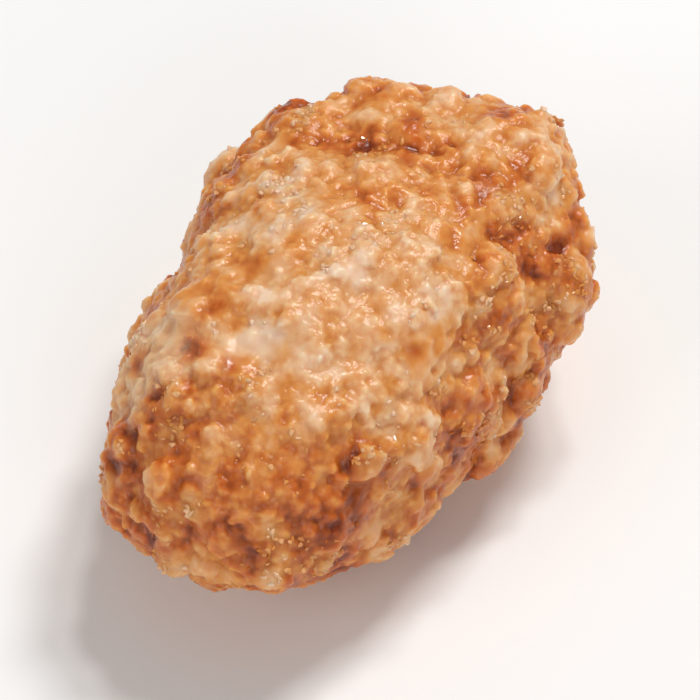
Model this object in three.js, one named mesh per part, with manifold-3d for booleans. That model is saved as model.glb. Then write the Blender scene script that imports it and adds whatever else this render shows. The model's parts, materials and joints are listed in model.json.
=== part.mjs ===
// A praline peanut: one roasted peanut cooked in sugar, whose coat has set into a rough, knobbly crust.
// Millimetres, +Z up. The nut lies on its side with its narrow end towards -X and its blunt end towards +X.
// The origin is on the surface that the nut lies on, under the middle of it.
import * as THREE from "three";
import { ImprovedNoise } from "three/addons/math/ImprovedNoise.js";
import { mergeVertices } from "three/addons/utils/BufferGeometryUtils.js";
import Module from "manifold-3d";

// Driving dimensions of the coated nut, over the tops of its crust
const LENGTH = 21;
const WIDTH = 13.6;
const HEIGHT = 11.6; // as it lies, above the rest spot

// The smooth body under the relief
const CRUST = 0.6; // about how thick the relief stands on the smooth body
const TAPER = 0.12; // share by which the blunt end is fuller, and the narrow end slimmer, than the middle
const SQUARENESS = 2.3; // 2 is an ellipsoid, and more is boxier
const BOW = 0.55; // how far the two ends lean towards -Y, as a peanut's seed leaf does

// The rest spot
const REST_DEPTH = 0.34; // how much of the underside is worn flat
const REST_CALM_FROM = -0.62; // the crust lies flatter where the body faces down more than this
const REST_CALM_TO = -0.93;
const REST_CALM_SHARE = 0.25; // what is left of the relief at the rest spot

// Swells and dips of the coat: which way each lies from the middle, how far it spreads and how high it rises
const SWELLS = {
  tipKnob: { toward: [0.86, -0.25, 0.45], spread: 4.2, rise: 2.2 },
  chin: { toward: [0.92, -0.1, -0.36], spread: 5.5, rise: 1.2 },
  ridge: { toward: [0.78, 0.4, 0.48], spread: 4.2, rise: 1.3 },
  cornerKnob: { toward: [0.64, -0.76, 0.1], spread: 3.0, rise: 1.0 },
  shoulder: { toward: [0.44, 0.79, 0.42], spread: 4.0, rise: 0.6 },
  crown: { toward: [0.1, -0.2, 0.97], spread: 4.6, rise: 0.3 },
  heel: { toward: [-0.86, -0.45, 0.1], spread: 3.6, rise: 0.5 },
  cheek: { toward: [-0.87, 0.42, -0.1], spread: 3.8, rise: 0.8 },
  brow: { toward: [-0.62, 0.3, 0.72], spread: 2.8, rise: 0.35 },
  waist: { toward: [-0.15, 0.87, 0.46], spread: 4.2, rise: -0.6 },
  saddle: { toward: [0.5, 0.3, 0.8], spread: 2.4, rise: -0.35 },
  flank: { toward: [0.05, -0.9, 0.4], spread: 3.6, rise: -0.35 },
  backDent: { toward: [0.45, 0.55, -0.7], spread: 2.8, rise: -0.35 },
};

// Clods: lumps of set sugar in two sizes, each spread evenly, that crowd against each other
const CLODS = {
  large: { count: 64, radius: [1.7, 2.7], rise: [0.1, 0.5], seed: 71 },
  small: { count: 300, radius: [0.7, 1.25], rise: [0.06, 0.34], seed: 29 },
};
const CLOD_TOP = 0.22; // share of a clod's radius that is flat on top
const CLOD_CROWDING = 5; // how sharply one clod meets the next
const CLOD_STRAY = 0.1; // share of the body's size by which a clod strays from an even spread
const CLOD_FLOOR = 0.05; // the least height that the clods leave between them

// Grain: the finest relief that the triangles hold, rounded hills with sharp valleys between them
const GRAIN = [
  { pitch: 2.1, rise: 0.22 },
  { pitch: 1.0, rise: 0.18 },
];

// Triangles and finish
const MESH_DETAIL = 23; // each of an icosahedron's faces is split into (detail + 1) squared triangles
const MERGE_WITHIN = 1e-5;
const CRUST_COLOUR = "#c98852";
const CRUST_ROUGHNESS = 0.55;

const GOLDEN_ANGLE = Math.PI * (3 - Math.sqrt(5));
const { lerp, smoothstep, seededRandom } = THREE.MathUtils;
const noise = new ImprovedNoise();

// A point of the smooth body, along a unit direction from its middle
function bodyPoint(direction) {
  const { x, y, z } = direction;
  const sum = Math.abs(x) ** SQUARENESS + Math.abs(y) ** SQUARENESS + Math.abs(z) ** SQUARENESS;
  const swell = 1 / sum ** (1 / SQUARENESS);
  const girth = swell * (1 + TAPER * x * swell);
  const lean = -BOW * (x * swell) ** 2;
  return new THREE.Vector3(
    (LENGTH / 2 - CRUST) * x * swell,
    (WIDTH / 2 - CRUST) * y * girth + lean,
    (HEIGHT / 2 - CRUST) * z * girth,
  );
}

// A rounded bump: 1 at its flat top, falling to 0 at its rim
function bump(distance, radius, top = 0) {
  return 1 - smoothstep(distance / radius, top, 1);
}

const swells = Object.values(SWELLS).map(({ toward, spread, rise }) => ({
  middle: bodyPoint(new THREE.Vector3(...toward).normalize()),
  spread,
  rise,
}));

// Clods on a spiral that covers the body evenly, each moved, sized and raised by a seeded draw
function scatterClods({ count, radius, rise, seed }) {
  seededRandom(seed);
  return Array.from({ length: count }, (_, index) => {
    const along = 1 - (2 * index + 1) / count;
    const ring = Math.sqrt(1 - along * along);
    const turn = index * GOLDEN_ANGLE;
    const direction = new THREE.Vector3(along, ring * Math.cos(turn), ring * Math.sin(turn));
    const stray = new THREE.Vector3(seededRandom(), seededRandom(), seededRandom()).subScalar(0.5);
    direction.addScaledVector(stray, 2 * CLOD_STRAY).normalize();
    return {
      middle: bodyPoint(direction),
      radius: lerp(...radius, seededRandom()),
      rise: lerp(...rise, seededRandom()),
    };
  });
}
const clodSets = Object.values(CLODS).map(scatterClods);

// The height of a set of clods at a point: about that of the tallest one there, with soft creases between
function clodHeight(clods, point) {
  const crowd = clods.reduce((sum, { middle, radius, rise }) => {
    const height = rise * bump(point.distanceTo(middle), radius, CLOD_TOP);
    return sum + height ** CLOD_CROWDING;
  }, CLOD_FLOOR ** CLOD_CROWDING);
  return crowd ** (1 / CLOD_CROWDING);
}

// The height of the grain at a point
function grainHeight(point) {
  return GRAIN.reduce((sum, { pitch, rise }) => {
    const { x, y, z } = point.clone().divideScalar(pitch);
    return sum + rise * Math.abs(noise.noise(x, y, z));
  }, 0);
}

// How far the coat stands off the smooth body at a point of it
function coatHeight(point, normal) {
  const swelling = swells.reduce((sum, s) => sum + s.rise * bump(point.distanceTo(s.middle), s.spread), 0);
  const crags = clodSets.reduce((sum, clods) => sum + clodHeight(clods, point), grainHeight(point));
  const calm = smoothstep(-normal.z, -REST_CALM_FROM, -REST_CALM_TO);
  return swelling + crags * lerp(1, REST_CALM_SHARE, calm);
}

// The coated nut: a finely split icosahedron drawn out to the smooth body, then raised by the coat
function coatedNut() {
  const sphere = new THREE.IcosahedronGeometry(1, MESH_DETAIL);
  sphere.deleteAttribute("normal");
  sphere.deleteAttribute("uv");
  const shell = mergeVertices(sphere, MERGE_WITHIN);
  const position = shell.getAttribute("position");
  const readAt = (attribute, i) => new THREE.Vector3().fromBufferAttribute(attribute, i);
  for (let i = 0; i < position.count; i++) {
    position.setXYZ(i, ...bodyPoint(readAt(position, i)));
  }
  shell.computeVertexNormals();
  const facing = shell.getAttribute("normal");
  for (let i = 0; i < position.count; i++) {
    const point = readAt(position, i);
    const normal = readAt(facing, i);
    position.setXYZ(i, ...point.addScaledVector(normal, coatHeight(point, normal)));
  }
  return shell;
}

const wasm = await Module();
wasm.setup();

function solidFrom(geometry) {
  const vertProperties = new Float32Array(geometry.getAttribute("position").array);
  const triVerts = new Uint32Array(geometry.index.array);
  return new wasm.Manifold(new wasm.Mesh({ numProp: 3, vertProperties, triVerts }));
}

function geometryFrom(solid) {
  const { vertProperties, triVerts } = solid.getMesh();
  const geometry = new THREE.BufferGeometry();
  geometry.setAttribute("position", new THREE.BufferAttribute(new Float32Array(vertProperties), 3));
  geometry.setIndex(new THREE.BufferAttribute(new Uint32Array(triVerts), 1));
  return geometry;
}

// Cuts the lowest sliver away, so that the nut lies still on a small flat spot
function flattenUnderside(geometry) {
  geometry.computeBoundingBox();
  const lowest = geometry.boundingBox.min.z;
  const block = new THREE.BoxGeometry(2 * LENGTH, 2 * WIDTH, HEIGHT);
  block.deleteAttribute("normal");
  block.deleteAttribute("uv");
  const table = mergeVertices(block);
  table.translate(0, 0, lowest + REST_DEPTH - HEIGHT / 2);
  return geometryFrom(solidFrom(geometry).subtract(solidFrom(table)));
}

// Brings the nut to its driving dimensions, with the origin on the resting surface under its middle
function fitOnOrigin(geometry) {
  geometry.computeBoundingBox();
  const { min, max } = geometry.boundingBox;
  geometry.translate(-(min.x + max.x) / 2, -(min.y + max.y) / 2, -min.z);
  geometry.scale(LENGTH / (max.x - min.x), WIDTH / (max.y - min.y), HEIGHT / (max.z - min.z));
  geometry.computeVertexNormals();
  return geometry;
}

const crust = new THREE.MeshStandardMaterial({ color: CRUST_COLOUR, roughness: CRUST_ROUGHNESS });
const nut = new THREE.Mesh(fitOnOrigin(flattenUnderside(coatedNut())), crust);
nut.name = "praline_peanut";

const part = new THREE.Group();
part.add(nut);
export default part;
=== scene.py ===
import bpy
import json
import math
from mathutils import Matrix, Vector

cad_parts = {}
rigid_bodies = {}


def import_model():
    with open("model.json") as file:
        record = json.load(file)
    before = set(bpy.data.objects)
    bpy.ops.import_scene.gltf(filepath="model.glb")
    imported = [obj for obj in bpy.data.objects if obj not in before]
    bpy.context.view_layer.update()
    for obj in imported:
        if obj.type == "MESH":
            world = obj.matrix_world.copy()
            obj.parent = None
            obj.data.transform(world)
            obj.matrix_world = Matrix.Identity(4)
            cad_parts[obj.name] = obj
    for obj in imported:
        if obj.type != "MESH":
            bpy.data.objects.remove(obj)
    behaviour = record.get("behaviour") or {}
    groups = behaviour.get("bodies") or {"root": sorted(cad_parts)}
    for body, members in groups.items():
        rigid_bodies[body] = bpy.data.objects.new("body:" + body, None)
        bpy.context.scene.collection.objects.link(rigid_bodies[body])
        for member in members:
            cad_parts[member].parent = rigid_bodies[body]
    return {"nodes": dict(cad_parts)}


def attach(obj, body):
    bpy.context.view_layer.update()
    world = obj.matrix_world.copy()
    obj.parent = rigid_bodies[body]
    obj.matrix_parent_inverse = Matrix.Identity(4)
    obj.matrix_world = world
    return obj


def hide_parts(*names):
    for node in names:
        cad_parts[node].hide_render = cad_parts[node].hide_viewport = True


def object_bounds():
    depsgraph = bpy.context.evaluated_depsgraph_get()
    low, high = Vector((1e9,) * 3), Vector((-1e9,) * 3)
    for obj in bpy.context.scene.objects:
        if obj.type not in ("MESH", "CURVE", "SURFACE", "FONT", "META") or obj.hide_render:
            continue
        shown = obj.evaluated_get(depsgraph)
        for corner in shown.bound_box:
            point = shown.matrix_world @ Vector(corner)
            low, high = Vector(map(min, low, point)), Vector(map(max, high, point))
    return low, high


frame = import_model()
cadBox = [list(corner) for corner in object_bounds()]
nutSize = [high - low for low, high in zip(*cadBox)]
nodeName = "praline_peanut"
millimetre = 0.001  # the scene is in metres, and the crust and the grains are given in millimetres
noiseMiddle = 0.5  # the value that a noise texture swings round
softDetail = 2.0  # levels of finer noise in a soft pattern
cragDetail = 3.0  # and in a craggy one
print("frame loaded, nut of", [round(side / millimetre, 1) for side in nutSize], "mm")


def srgb(hexCode):  # a colour as the screen shows it, turned to linear light
    parts = [int(hexCode[i:i + 2], 16) / 255 for i in (1, 3, 5)]
    return tuple(c / 12.92 if c <= 0.04045 else ((c + 0.055) / 1.055) ** 2.4 for c in parts) + (1.0,)


def addNode(tree, kind, inputs=None, out=0, **settings):  # one node with its settings, values and links
    node = tree.nodes.new(kind)
    for name, value in settings.items():
        setattr(node, name, value)
    for name, value in (inputs or {}).items():
        for source in value if isinstance(value, list) else [value]:  # a list is several links to one input
            if isinstance(source, bpy.types.NodeSocket):
                tree.links.new(source, node.inputs[name])
            else:
                node.inputs[name].default_value = source
    return node.outputs[out] if node.outputs else node


def pickOnly(piece):
    bpy.ops.object.select_all(action="DESELECT")
    piece.select_set(True)
    bpy.context.view_layer.objects.active = piece


def copyOf(piece, name):  # a free copy with its own mesh
    pickOnly(piece)
    bpy.ops.object.duplicate()
    copy = bpy.context.active_object
    for key in list(copy.keys()):
        del copy[key]
    bpy.ops.object.parent_clear(type="CLEAR")
    copy.name = copy.data.name = name
    return copy


def applyModifier(piece, name, kind, **settings):
    pickOnly(piece)
    modifier = piece.modifiers.new(name, kind)
    for key, value in settings.items():
        setattr(modifier, key, value)
    bpy.ops.object.modifier_apply(modifier=name)


def newGeometryTree(name):  # a node tree for a mesh, and the mesh that comes in
    tree = bpy.data.node_groups.new(name, "GeometryNodeTree")
    tree.interface.new_socket(name="Geometry", in_out="INPUT", socket_type="NodeSocketGeometry")
    tree.interface.new_socket(name="Geometry", in_out="OUTPUT", socket_type="NodeSocketGeometry")
    return tree, addNode(tree, "NodeGroupInput")


def triangleCount(piece):
    return sum(len(face.vertices) - 2 for face in piece.data.polygons)


# The crust: the set sugar coat, which is all that shows of the nut
crustShape = {
    "merge": 0.001,  # corners of the solid that are this close are one
    "voxel": 0.085,  # mesh spacing
    "triangles": 194000,  # what the finished mesh is thinned to
    "ease": 0.5,  # strength of one smoothing pass
    "smoothing": 10,  # passes that take the solid's facets away
    "fusing": 3,  # passes that run the nodules together
    "bed": 0.18,  # how far the coat sinks before the nodules are set on it
    "floorGap": (0.5, 1.6),  # both fade in between these heights, so that the rest spot stays flat
    "nodules": (  # lumps of set sugar: width, most a square millimetre, least gap, height for its width
        {"size": (0.9, 2.0), "density": 0.6, "apart": 0.9, "tall": 0.42, "seed": 3},
        {"size": (0.34, 0.85), "density": 3.2, "apart": 0.34, "tall": 0.62, "seed": 8},
    ),
    "ballSplits": 3,  # how finely a nodule is rounded
    "uneven": (0.7, 1.3),  # how far a nodule is stretched, each way by a draw of its own
    "lumpySize": 2.4,  # patches of small nodules and of large ones
    "lumpyNoise": (0.36, 0.64),
    "lumpyScale": (0.3, 1.2),
    "calmMiddle": (-3.2, 0.4, 10.4),  # round this place on the shown side the nodules are smaller
    "calmReach": (3.2, 8.0),
    "calmScale": 0.55,
    "crookedSize": 0.45,  # waves that bend the nodules, and how far
    "crooked": 0.36,
    "patches": {  # melted smooth, set dull or strewn with grains: the noise at the rim and at the core
        "glaze": {"size": 1.7, "rim": 0.59, "core": 0.66, "shift": 23.0},
        "frost": {"size": 2.6, "rim": 0.53, "core": 0.72, "shift": 37.0},
        "crumbly": {"size": 1.8, "rim": 0.5, "core": 0.78, "shift": 83.0},
    },
    "patchWander": 0.6,  # how crooked the patches are
    "glazeHeight": (2.5, 6.0),  # low on the flanks less is glazed
    "glazeLow": 0.3,
    "glazePasses": 5,  # passes that smooth the glaze
    "dullMiddle": (-6.2, 2.4, 9.2),  # round this place there is most frost
    "dullReach": (0.5, 5.0),
    "dullShare": (0.22, -0.12),
    "lumps": {  # rounded lumps that crowd all over the coat, and the finest of them
        "granule": {"size": 0.75, "rise": 0.065},
        "crumb": {"size": 0.26, "rise": 0.05},
    },
    "lumpLevel": 0.5,  # share of its size from its middle at which a lump is level with the coat
    "creaseSoftness": 0.3,  # of the creases where lumps meet
    "warpSize": 0.75,  # waves that bend the lumps, and how far
    "warp": 0.5,
    "crestPasses": 4,  # how far round a point its crests and its mounds are judged
    "moundPasses": 50,
}


def noduleTree(shape):
    tree, geometry = newGeometryTree("sugar nodules")
    position = addNode(tree, "GeometryNodeInputPosition")
    normal = addNode(tree, "GeometryNodeInputNormal")

    # The coat sinks, clear of the rest spot
    height = addNode(tree, "ShaderNodeSeparateXYZ", {0: position}, out=2)
    low, high = shape["floorGap"]
    clear = addNode(tree, "ShaderNodeMapRange", {
        "Value": height, "From Min": low * millimetre, "From Max": high * millimetre})
    depth = addNode(tree, "ShaderNodeMath", {0: clear, 1: -shape["bed"] * millimetre}, operation="MULTIPLY")
    inward = addNode(tree, "ShaderNodeVectorMath", {0: normal, "Scale": depth}, operation="SCALE")
    bed = addNode(tree, "GeometryNodeSetPosition", {"Geometry": geometry, "Offset": inward})

    # How large the nodules are from place to place
    middle = tuple(side * millimetre for side in shape["calmMiddle"])
    away = addNode(tree, "ShaderNodeVectorMath", {0: position, 1: middle}, out=1, operation="DISTANCE")
    near, far = shape["calmReach"]
    calm = addNode(tree, "ShaderNodeMapRange", {
        "Value": away, "From Min": near * millimetre, "From Max": far * millimetre,
        "To Min": shape["calmScale"]})
    noise = addNode(tree, "ShaderNodeTexNoise", {
        "Vector": position, "Scale": 1 / (shape["lumpySize"] * millimetre), "Detail": softDetail})
    low, high = shape["lumpyNoise"]
    least, most = shape["lumpyScale"]
    lumpy = addNode(tree, "ShaderNodeMapRange", {
        "Value": noise, "From Min": low, "From Max": high, "To Min": least, "To Max": most})
    modest = addNode(tree, "ShaderNodeMath", {0: calm, 1: lumpy}, operation="MULTIPLY")

    # Balls that are 1 across are set on the coat, and each is scaled and stretched
    ball = addNode(tree, "GeometryNodeMeshIcoSphere", {
        "Radius": 1 / 2, "Subdivisions": shape["ballSplits"]})
    heap = [bed]
    for kind in shape["nodules"]:
        spots = addNode(tree, "GeometryNodeDistributePointsOnFaces", {
            "Mesh": bed, "Distance Min": kind["apart"] * millimetre,
            "Density Max": kind["density"] / millimetre ** 2, "Density Factor": clear, "Seed": kind["seed"],
        }, distribute_method="POISSON")
        least, most = shape["uneven"]
        stretch = addNode(tree, "FunctionNodeRandomValue", {
            0: (least, least, least * kind["tall"]), 1: (most, most, most * kind["tall"]),
            "Seed": kind["seed"] + 1}, data_type="FLOAT_VECTOR")
        least, most = kind["size"]
        size = addNode(tree, "FunctionNodeRandomValue", {
            2: least * millimetre, 3: most * millimetre, "Seed": kind["seed"] + 2,
        }, out=1, data_type="FLOAT")
        size = addNode(tree, "ShaderNodeMath", {0: size, 1: modest}, operation="MULTIPLY")
        scale = addNode(tree, "ShaderNodeVectorMath", {0: stretch, "Scale": size}, operation="SCALE")
        copies = addNode(tree, "GeometryNodeInstanceOnPoints", {
            "Points": spots, "Instance": ball, "Rotation": spots.node.outputs["Rotation"], "Scale": scale})
        heap.append(addNode(tree, "GeometryNodeRealizeInstances", {0: copies}))
    joined = addNode(tree, "GeometryNodeJoinGeometry", {0: heap})

    # Each nodule is bent out of round
    wave = addNode(tree, "ShaderNodeTexNoise", {
        "Vector": position, "Scale": 1 / (shape["crookedSize"] * millimetre), "Detail": softDetail,
    }, out="Color")
    drift = addNode(tree, "ShaderNodeVectorMath", {0: wave, 1: (noiseMiddle,) * 3}, operation="SUBTRACT")
    faded = addNode(tree, "ShaderNodeMath", {
        0: clear, 1: shape["crooked"] * millimetre}, operation="MULTIPLY")
    offset = addNode(tree, "ShaderNodeVectorMath", {0: drift, "Scale": faded}, operation="SCALE")
    bent = addNode(tree, "GeometryNodeSetPosition", {"Geometry": joined, "Offset": offset})
    addNode(tree, "NodeGroupOutput", {0: bent})
    return tree


def reliefTree(shape):
    tree, geometry = newGeometryTree("crust relief")
    position = addNode(tree, "GeometryNodeInputPosition")
    normal = addNode(tree, "GeometryNodeInputNormal")
    place = addNode(tree, "ShaderNodeVectorMath", {0: position, "Scale": 1 / millimetre}, operation="SCALE")

    # Where caramel melted smooth, where sugar set dull and where loose grains stuck
    away = addNode(tree, "ShaderNodeVectorMath", {
        0: place, 1: shape["dullMiddle"]}, out=1, operation="DISTANCE")
    near, far = shape["dullReach"]
    most, least = shape["dullShare"]
    duller = addNode(tree, "ShaderNodeMapRange", {
        "Value": away, "From Min": near, "From Max": far, "To Min": most, "To Max": least})
    height = addNode(tree, "ShaderNodeSeparateXYZ", {0: place}, out=2)
    low, high = shape["glazeHeight"]
    higher = addNode(tree, "ShaderNodeMapRange", {
        "Value": height, "From Min": low, "From Max": high, "To Min": shape["glazeLow"]})
    for name, patch in shape["patches"].items():
        shift = patch["shift"]  # reads each kind of patch from another part of the noise
        moved = addNode(tree, "ShaderNodeVectorMath", {
            0: place, 1: (shift, -shift, shift)}, operation="ADD")
        noise = addNode(tree, "ShaderNodeTexNoise", {
            "Vector": moved, "Scale": 1 / patch["size"], "Detail": cragDetail,
            "Distortion": shape["patchWander"]})
        if name == "frost":
            noise = addNode(tree, "ShaderNodeMath", {0: noise, 1: duller}, operation="ADD")
        share = addNode(tree, "ShaderNodeMapRange", {
            "Value": noise, "From Min": patch["rim"], "From Max": patch["core"],
        }, interpolation_type="SMOOTHSTEP")
        if name == "glaze":
            share = addNode(tree, "ShaderNodeMath", {0: share, 1: higher}, operation="MULTIPLY")
        geometry = addNode(tree, "GeometryNodeStoreNamedAttribute", {
            "Geometry": geometry, "Name": name, "Value": share}, data_type="FLOAT")
    glaze = addNode(tree, "GeometryNodeInputNamedAttribute", {"Name": "glaze"}, data_type="FLOAT")

    # Granules and crumbs: rounded lumps that meet in creases
    wave = addNode(tree, "ShaderNodeTexNoise", {
        "Vector": place, "Scale": 1 / shape["warpSize"], "Detail": softDetail}, out="Color")
    drift = addNode(tree, "ShaderNodeVectorMath", {0: wave, 1: (noiseMiddle,) * 3}, operation="SUBTRACT")
    drift = addNode(tree, "ShaderNodeVectorMath", {0: drift, "Scale": shape["warp"]}, operation="SCALE")
    warped = addNode(tree, "ShaderNodeVectorMath", {0: place, 1: drift}, operation="ADD")
    for name, lump in shape["lumps"].items():
        cell = addNode(tree, "ShaderNodeTexVoronoi", {
            "Vector": warped, "Scale": 1 / lump["size"], "Smoothness": shape["creaseSoftness"],
        }, feature="SMOOTH_F1")
        dome = addNode(tree, "ShaderNodeMath", {0: shape["lumpLevel"], 1: cell}, operation="SUBTRACT")
        if name == "granule":  # the material makes its top paler and its rim darker, partly set sugar and partly painted shade
            geometry = addNode(tree, "GeometryNodeStoreNamedAttribute", {
                "Geometry": geometry, "Name": name, "Value": dome}, data_type="FLOAT")
        steepness = lump["rise"] * millimetre / shape["lumpLevel"]
        rise = addNode(tree, "ShaderNodeMath", {0: dome, 1: steepness}, operation="MULTIPLY")
        offset = addNode(tree, "ShaderNodeVectorMath", {0: normal, "Scale": rise}, operation="SCALE")
        geometry = addNode(tree, "GeometryNodeSetPosition", {"Geometry": geometry, "Offset": offset})

    # Melted caramel lies smooth, and nothing sinks under the surface that the nut lies on
    settled = addNode(tree, "GeometryNodeBlurAttribute", {
        "Value": position, "Iterations": shape["glazePasses"], "Weight": glaze}, data_type="FLOAT_VECTOR")
    x = addNode(tree, "ShaderNodeSeparateXYZ", {0: settled})
    y, z = x.node.outputs[1:]
    lifted = addNode(tree, "ShaderNodeMath", {0: z, 1: 0.0}, operation="MAXIMUM")
    kept = addNode(tree, "ShaderNodeCombineXYZ", {0: x, 1: y, 2: lifted})
    geometry = addNode(tree, "GeometryNodeSetPosition", {"Geometry": geometry, "Position": kept})

    # How far each point stands out of its surroundings, in millimetres, close by and further round. The
    # material makes creases and hollows darker and crests paler with these, partly as set sugar over
    # caramel and partly as painted shade
    for name in ("crest", "mound"):
        around = addNode(tree, "GeometryNodeBlurAttribute", {
            "Value": position, "Iterations": shape[name + "Passes"]}, data_type="FLOAT_VECTOR")
        away = addNode(tree, "ShaderNodeVectorMath", {0: position, 1: around}, operation="SUBTRACT")
        proud = addNode(tree, "ShaderNodeVectorMath", {0: away, 1: normal}, out=1, operation="DOT_PRODUCT")
        share = addNode(tree, "ShaderNodeMath", {0: proud, 1: 1 / millimetre}, operation="MULTIPLY")
        geometry = addNode(tree, "GeometryNodeStoreNamedAttribute", {
            "Geometry": geometry, "Name": name, "Value": share}, data_type="FLOAT")
    addNode(tree, "NodeGroupOutput", {0: geometry})
    return tree


def makeCrust(shape):
    crust = copyOf(frame["nodes"][nodeName], "sugar_crust")
    bpy.ops.object.mode_set(mode="EDIT")
    bpy.ops.mesh.select_all(action="SELECT")
    bpy.ops.mesh.remove_doubles(threshold=shape["merge"] * millimetre)
    bpy.ops.object.mode_set(mode="OBJECT")
    voxel = shape["voxel"] * millimetre
    applyModifier(crust, "Even", "REMESH", mode="VOXEL", voxel_size=voxel)
    applyModifier(crust, "Ease", "SMOOTH", factor=shape["ease"], iterations=shape["smoothing"])
    applyModifier(crust, "Nodules", "NODES", node_group=noduleTree(shape))
    applyModifier(crust, "Join", "REMESH", mode="VOXEL", voxel_size=voxel)
    applyModifier(crust, "Fuse", "SMOOTH", factor=shape["ease"], iterations=shape["fusing"])
    applyModifier(crust, "Relief", "NODES", node_group=reliefTree(shape))
    applyModifier(crust, "Thin", "DECIMATE", ratio=shape["triangles"] / triangleCount(crust))
    bpy.ops.object.shade_smooth()
    return crust


# Caramelised sugar: boiled sugar that set in lumps round the nut. The eye gets a golden to brown crust,
# paler on its crests and amber in its creases, partly as set sugar over caramel and partly as painted
# shade, with a soft glow and small wet-looking spots.
crustLook = {
    "tones": (  # from dark caramel to pale set sugar
        (0.0, "#802f03"), (0.25, "#c46522"), (0.5, "#dc944b"), (0.75, "#e5b484"), (1.0, "#edcdb0")),
    "tone": 0.33,  # where the crust starts on that scale, and how far each thing then moves it
    # crest, mound and granule darken creases and hollows and make the tops paler: partly set sugar, partly
    # painted shade
    "toneShares": {
        "gold": 0.34, "mottle": 1.2, "blotch": 0.65, "crest": 0.7, "mound": 0.85, "granule": 0.28,
        "glaze": -0.1, "frost": 0.24},
    "paleAndLitSpots": (  # where the crust is palest, partly paler set sugar and partly painted light on the top that faces the lamps: middle and reach, weaker if it is off the surface
        ((-1.5, -1.6, 10.5), 8.5), ((2.0, 2.4, 10.6), 3.8), ((4.5, 5.5, 4.8), 5.5),
        ((6.8, -4.8, 5.2), 3.5), ((6.2, -4.7, 12.2), 4.6), ((8.8, 0.9, 12.8), 4.6)),
    "goldCore": 0.25,  # share of the reach that is palest
    "goldFray": 5.0,  # how far the blotches fray a spot's rim
    "mottleSize": 1.2,  # small changes of tone and of gloss
    "blotchSize": 2.8,  # large changes of tone
    "frostColour": "#e2c09c",  # of dull sugar, and how much of the tone it hides
    "frostCover": 0.5,
    "roughness": 0.26,  # and how far each thing moves it
    "roughnessShares": {"glaze": -0.04, "frost": 0.16, "mottle": 0.4},
    "grainSize": 0.16,  # the finest grain of the sugar, and the notches between its crystals
    "facetSize": 0.2286,
    "facetShare": -0.6,
    "grainDepth": 0.045,
    "grainStrength": (0.8, 0.1),  # on plain crust and on glaze
    "ior": 1.45,
    "specular": 0.45,
    "glow": 0.85,  # share of light that sinks in, and how far it spreads
    "glowRadius": (1.0, 0.65, 0.4),
    "glowReach": 0.75,
}


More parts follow.
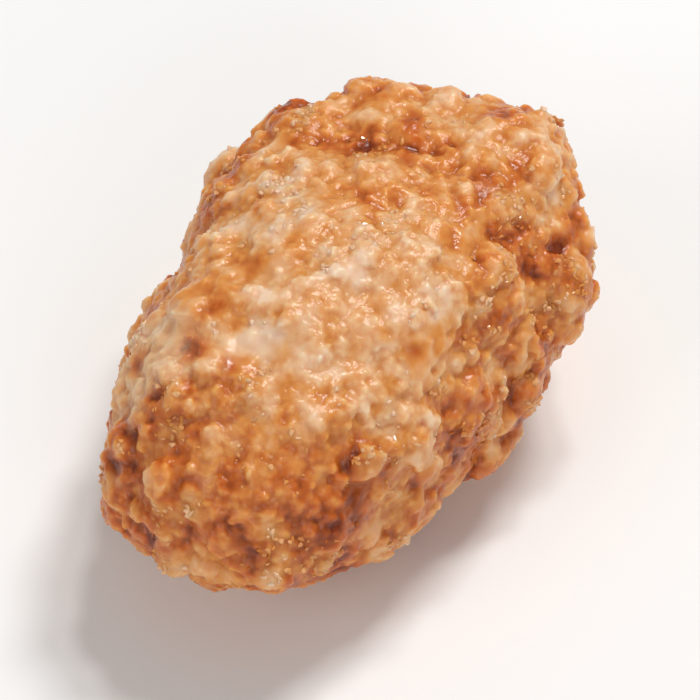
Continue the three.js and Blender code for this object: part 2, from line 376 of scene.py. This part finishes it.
def caramelisedSugar(name, look):
    material = bpy.data.materials.new(name)
    material.use_nodes = True
    tree = material.node_tree
    tree.nodes.clear()
    coordinates = addNode(tree, "ShaderNodeTexCoord", out="Object")
    place = addNode(tree, "ShaderNodeVectorMath", {
        0: coordinates, "Scale": 1 / millimetre}, operation="SCALE")

    # What the tone and the gloss depend on: the mesh's attributes, two noises and the pale spots, which are
    # partly painted light on the top
    causes = {}
    for attribute in ("crest", "mound", "granule", "glaze", "frost"):
        causes[attribute] = addNode(tree, "ShaderNodeAttribute", out="Fac", attribute_name=attribute)
    for pattern, detail in (("blotch", cragDetail), ("mottle", softDetail)):
        noise = addNode(tree, "ShaderNodeTexNoise", {
            "Vector": place, "Scale": 1 / look[pattern + "Size"], "Detail": detail})
        causes[pattern] = addNode(tree, "ShaderNodeMath", {0: noise, 1: noiseMiddle}, operation="SUBTRACT")
    causes["gold"] = 0.0
    for middle, reach in look["paleAndLitSpots"]:
        away = addNode(tree, "ShaderNodeVectorMath", {0: place, 1: middle}, out=1, operation="DISTANCE")
        frayed = addNode(tree, "ShaderNodeMath", {
            0: causes["blotch"], 1: -look["goldFray"], 2: away}, operation="MULTIPLY_ADD")
        spot = addNode(tree, "ShaderNodeMapRange", {
            "Value": frayed, "From Min": look["goldCore"] * reach, "From Max": reach,
            "To Min": 1.0, "To Max": 0.0}, interpolation_type="SMOOTHSTEP")
        causes["gold"] = addNode(tree, "ShaderNodeMath", {0: spot, 1: causes["gold"]}, operation="MAXIMUM")

    # The tone runs from dark caramel to pale set sugar
    tone = look["tone"]
    for cause, share in look["toneShares"].items():
        tone = addNode(tree, "ShaderNodeMath", {
            0: causes[cause], 1: share, 2: tone}, operation="MULTIPLY_ADD")
    toned = addNode(tree, "ShaderNodeValToRGB", {0: tone})
    stops = toned.node.color_ramp.elements
    for at, _ in look["tones"][1:-1]:  # a new ramp has its two ends
        stops.new(at)
    for stop, (at, colour) in zip(stops, look["tones"]):
        stop.position = at
        stop.color = srgb(colour)
    dullness = addNode(tree, "ShaderNodeMath", {
        0: causes["frost"], 1: look["frostCover"]}, operation="MULTIPLY")
    colour = addNode(tree, "ShaderNodeMix", {
        0: dullness, 6: toned, 7: srgb(look["frostColour"])}, out=2, data_type="RGBA")

    # Gloss and the finest grain
    roughness = look["roughness"]
    for cause, share in look["roughnessShares"].items():
        roughness = addNode(tree, "ShaderNodeMath", {
            0: causes[cause], 1: share, 2: roughness}, operation="MULTIPLY_ADD")
    facets = addNode(tree, "ShaderNodeTexVoronoi", {"Vector": place, "Scale": 1 / look["facetSize"]})
    grain = addNode(tree, "ShaderNodeTexNoise", {
        "Vector": place, "Scale": 1 / look["grainSize"], "Detail": cragDetail})
    grain = addNode(tree, "ShaderNodeMath", {
        0: facets, 1: look["facetShare"], 2: grain}, operation="MULTIPLY_ADD")
    plain, glazed = look["grainStrength"]
    strength = addNode(tree, "ShaderNodeMath", {
        0: causes["glaze"], 1: glazed - plain, 2: plain}, operation="MULTIPLY_ADD")
    bump = addNode(tree, "ShaderNodeBump", {
        "Height": grain, "Strength": strength, "Distance": look["grainDepth"] * millimetre})
    shader = addNode(tree, "ShaderNodeBsdfPrincipled", {
        "Base Color": colour, "Roughness": roughness, "Normal": bump, "IOR": look["ior"],
        "Specular IOR Level": look["specular"], "Subsurface Weight": look["glow"],
        "Subsurface Radius": look["glowRadius"], "Subsurface Scale": look["glowReach"] * millimetre})
    addNode(tree, "ShaderNodeOutputMaterial", {"Surface": shader})
    return material


crust = makeCrust(crustShape)
crust.data.materials.clear()
crust.data.materials.append(caramelisedSugar("caramelised sugar crust", crustLook))
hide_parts(nodeName)
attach(crust, "root")
print("crust made,", triangleCount(crust), "triangles")


# Sugar grains: crystals that were caught in the coat as it set
grainShape = {
    "size": 0.2,  # width of a crystal
    "spread": (0.4, 1.5),  # how far it is stretched, each way by a draw of its own
    "splits": 1,  # how finely it is rounded, here into twenty facets
    "ragged": 0.06,  # how far its corners stray
    "sunk": 0.03,  # how deep its middle lies in the coat
    "density": 60.0,  # most a square millimetre, where the coat is crumbliest
    "apart": 0.13,  # least gap between the middles of two
    "above": 0.6,  # none lies lower than this
    "seed": 12,
}
# Set sugar: clear crystals over the same caramel. The eye gets small, pale, hard-edged specks that glint.
grainLook = dict(
    crustLook, tone=0.53, toneShares=dict(crustLook["toneShares"], crest=1.5), roughness=0.14,
    roughnessShares={"glaze": 0.08, "frost": 0.11, "mottle": 0.4}, grainDepth=0.0, glow=0.0)


def makeCrystal(shape):  # one crystal, to be copied
    bpy.ops.object.select_all(action="DESELECT")
    bpy.ops.mesh.primitive_ico_sphere_add(
        subdivisions=shape["splits"], radius=shape["size"] / 2 * millimetre)
    crystal = bpy.context.active_object
    bpy.ops.object.mode_set(mode="EDIT")
    bpy.ops.mesh.select_all(action="SELECT")
    bpy.ops.transform.vertex_random(offset=shape["ragged"] * millimetre, seed=shape["seed"])
    bpy.ops.object.mode_set(mode="OBJECT")
    return crystal


def grainTree(shape, crystal):
    tree, geometry = newGeometryTree("sugar grains")
    position = addNode(tree, "GeometryNodeInputPosition")
    height = addNode(tree, "ShaderNodeSeparateXYZ", {0: position}, out=2)
    above = addNode(tree, "ShaderNodeMath", {
        0: height, 1: shape["above"] * millimetre}, operation="GREATER_THAN")
    crumbly = addNode(tree, "GeometryNodeInputNamedAttribute", {"Name": "crumbly"}, data_type="FLOAT")
    glaze = addNode(tree, "GeometryNodeInputNamedAttribute", {"Name": "glaze"}, data_type="FLOAT")
    share = addNode(tree, "ShaderNodeMath", {0: crumbly, 1: glaze}, operation="SUBTRACT", use_clamp=True)
    spots = addNode(tree, "GeometryNodeDistributePointsOnFaces", {
        "Mesh": geometry, "Selection": above, "Distance Min": shape["apart"] * millimetre,
        "Density Max": shape["density"] / millimetre ** 2, "Density Factor": share, "Seed": shape["seed"],
    }, distribute_method="POISSON")
    turn = addNode(tree, "FunctionNodeRandomValue", {
        0: (0, 0, 0), 1: (2 * math.pi,) * 3, "Seed": shape["seed"] + 1}, data_type="FLOAT_VECTOR")
    least, most = shape["spread"]
    scale = addNode(tree, "FunctionNodeRandomValue", {
        0: (least,) * 3, 1: (most,) * 3, "Seed": shape["seed"] + 2}, data_type="FLOAT_VECTOR")
    pattern = addNode(tree, "GeometryNodeObjectInfo", {"Object": crystal}, out="Geometry")
    inward = addNode(tree, "ShaderNodeVectorMath", {
        0: spots.node.outputs["Normal"], "Scale": -shape["sunk"] * millimetre}, operation="SCALE")
    sunk = addNode(tree, "GeometryNodeSetPosition", {"Geometry": spots, "Offset": inward})
    copies = addNode(tree, "GeometryNodeInstanceOnPoints", {
        "Points": sunk, "Instance": pattern, "Rotation": turn, "Scale": scale})
    made = addNode(tree, "GeometryNodeRealizeInstances", {0: copies})
    addNode(tree, "NodeGroupOutput", {0: made})
    return tree


def makeGrains(crust, shape):
    crystal = makeCrystal(shape)
    grains = copyOf(crust, "sugar_grains")
    applyModifier(grains, "Scatter", "NODES", node_group=grainTree(shape, crystal))
    bpy.data.objects.remove(crystal)
    bpy.ops.object.shade_flat()
    return grains


grains = makeGrains(crust, grainShape)
grains.data.materials.clear()
grains.data.materials.append(caramelisedSugar("set sugar grains", grainLook))
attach(grains, "root")
print("grains made,", triangleCount(grains), "triangles")


# The stage: a pale floor, soft lights and the camera, in metres, degrees and watts
stageSet = {
    "floorSize": 4.0,
    "floorColour": "#f4f3f1",
    "floorRoughness": 0.9,
    "lights": {
        "key softbox": {"azimuth": 80, "elevation": 60, "distance": 0.3, "size": 0.07, "power": 0.4},
        "sparkle": {"azimuth": 100, "elevation": 68, "distance": 0.45, "size": 0.06, "power": 0.42},
        "left fill": {"azimuth": -110, "elevation": 35, "distance": 0.35, "size": 0.2, "power": 0.2},
        "front fill": {"azimuth": -40, "elevation": 30, "distance": 0.35, "size": 0.2, "power": 0.24},
    },
    "world": 0.31,  # strength of the white light from all round
    "azimuth": -57,  # where the camera is, seen from the nut
    "elevation": 50,
    "aim": (0.0004, -0.0004, 0.0048),
    "lens": 250,  # millimetres, long enough that the near side doesn't bulge
    "clip": (0.01, 10.0),
    "fill": 0.88,  # the nut's whole length as a share of the picture's width
}


def towards(azimuth, elevation):  # from the nut to a place, azimuth 0 being the -Y side
    turn = math.radians(azimuth)
    climb = math.radians(elevation)
    return Vector((math.sin(turn) * math.cos(climb), -math.cos(turn) * math.cos(climb), math.sin(climb)))


# Matte white paper: a plain sheet with no sheen. The eye gets a pale ground with one soft shadow.
def makeFloor(stage):
    bpy.ops.object.select_all(action="DESELECT")
    bpy.ops.mesh.primitive_plane_add(size=stage["floorSize"])
    floor = bpy.context.active_object
    floor.name = "floor"
    material = bpy.data.materials.new("matte white paper")
    material.use_nodes = True
    shader = material.node_tree.nodes["Principled BSDF"]
    shader.inputs["Base Color"].default_value = srgb(stage["floorColour"])
    shader.inputs["Roughness"].default_value = stage["floorRoughness"]
    floor.data.materials.append(material)


def addLight(name, softbox):  # a round one that faces the nut
    lamp = bpy.data.lights.new(name, "AREA")
    lamp.shape = "DISK"
    lamp.size = softbox["size"]
    lamp.energy = softbox["power"]
    light = bpy.data.objects.new(name, lamp)
    bpy.context.scene.collection.objects.link(light)
    back = towards(softbox["azimuth"], softbox["elevation"])
    light.location = back * softbox["distance"]
    light.rotation_euler = back.to_track_quat("Z", "Y").to_euler()


def setWorld(stage):
    world = bpy.data.worlds.new("studio")
    world.use_nodes = True
    background = world.node_tree.nodes["Background"]
    background.inputs["Color"].default_value = srgb("#ffffff")
    background.inputs["Strength"].default_value = stage["world"]
    bpy.context.scene.world = world


def makeCamera(stage):
    lens = bpy.data.cameras.new("camera")
    lens.lens = stage["lens"]
    lens.clip_start, lens.clip_end = stage["clip"]
    camera = bpy.data.objects.new("camera", lens)
    bpy.context.scene.collection.objects.link(camera)
    back = towards(stage["azimuth"], stage["elevation"])
    across = nutSize[0] / stage["fill"]  # what the picture's width takes in at the nut
    camera.location = Vector(stage["aim"]) + back * across * lens.lens / lens.sensor_width
    camera.rotation_euler = back.to_track_quat("Z", "Y").to_euler()
    bpy.context.scene.camera = camera


makeFloor(stageSet)
for name, softbox in stageSet["lights"].items():
    addLight(name, softbox)
setWorld(stageSet)
bpy.context.scene.view_settings.view_transform = "Standard"
makeCamera(stageSet)
print("stage set")
